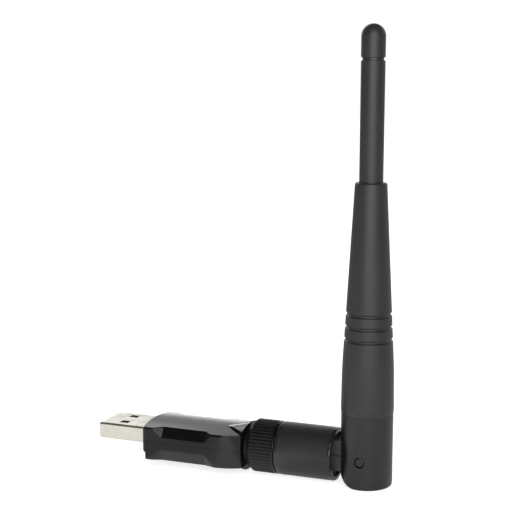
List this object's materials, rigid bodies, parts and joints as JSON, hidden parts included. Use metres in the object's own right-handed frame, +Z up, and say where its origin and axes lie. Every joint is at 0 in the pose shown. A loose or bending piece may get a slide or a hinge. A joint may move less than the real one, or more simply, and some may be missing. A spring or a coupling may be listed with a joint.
{
  "type": "usb wifi adapter",
  "caption": "Stick-shaped USB network adapter whose screw-on whip antenna swivels on its barrel and tilts on a hinge; the metal plug is at the other end.",
  "frame": {"origin": "centre of the USB plug's mouth", "axes": "+X from the plug along the adapter to the antenna's hinge, +Z up along the upright antenna, away from the rest face"},
  "size_m": [0.0832, 0.0172, 0.1201],
  "materials": {
    "plated_steel": "bright nickel plate on drawn steel sheet",
    "plug_plastic": "black moulded insulator",
    "gold_plate": "thin gold plate on brass",
    "housing": "black moulded plastic with a polished finish",
    "board": "green solder mask on glass fibre board",
    "chip_epoxy": "moulded black epoxy",
    "tinned_steel": "tinned sheet",
    "ceramic": "fired ceramic with tinned ends",
    "fluoroplastic": "white dielectric",
    "nut_plastic": "black moulded plastic, ribbed grip",
    "brass": "turned brass",
    "swivel_plastic": "charcoal moulded plastic, fine texture",
    "pin_plastic": "charcoal pin, plain",
    "cable_jacket": "brown fluoroplastic jacket",
    "antenna_plastic": "charcoal moulded plastic, fine texture",
    "copper": "drawn copper wire"
  },
  "bodies": {
    "adapter": {"usb_shell": "plated_steel", "usb_insulator": "plug_plastic", "usb_contacts": "gold_plate", "top_cover": "housing", "bottom_cover": "housing", "circuit_board": "board", "radio_chip": "chip_epoxy", "shield_can": "tinned_steel", "crystal": "tinned_steel", "voltage_regulator": "chip_epoxy", "chip_capacitors": "ceramic", "jack_body": "gold_plate", "jack_insulator": "fluoroplastic", "jack_pin": "gold_plate"},
    "connector": {"connector_body": "gold_plate", "connector_insulator": "fluoroplastic", "connector_socket": "gold_plate", "retaining_ring": "brass"},
    "nut": {"coupling_nut": "nut_plastic", "nut_insert": "brass"},
    "swivel": {"swivel_barrel": "swivel_plastic", "hinge_knuckle": "swivel_plastic", "hinge_pins": "pin_plastic", "barrel_cable": "cable_jacket", "cable_bend": "cable_jacket"},
    "antenna": {"antenna_base": "antenna_plastic", "tapered_sleeve": "antenna_plastic", "antenna_rod": "antenna_plastic", "tip_cap": "antenna_plastic", "antenna_cable": "cable_jacket", "dipole_sleeve": "brass", "radiator_wire": "copper"}
  },
  "joints": [
    {"name": "antenna_unscrew", "type": "slide", "parent": "adapter", "child": "connector", "axis": [1, 0, 0], "range_m": [0, 0.00635]},
    {"name": "nut_turn", "type": "hinge", "parent": "connector", "child": "nut", "pos_m": [0.0478, 0, -0.0008], "axis": [1, 0, 0], "range_deg": [0, 3240]},
    {"name": "antenna_swivel", "type": "hinge", "parent": "connector", "child": "swivel", "pos_m": [0.0605, 0, -0.0008], "axis": [1, 0, 0], "range_deg": [-180, 180]},
    {"name": "antenna_tilt", "type": "hinge", "parent": "swivel", "child": "antenna", "pos_m": [0.07627, 0, -0.0004], "axis": [0, 1, 0], "range_deg": [0, 90], "deforming": ["cable_bend"]}
  ],
  "couplings": [
    {"joint": "nut_turn", "follows": "antenna_unscrew", "rad_per_m": 8904.7}
  ]
}
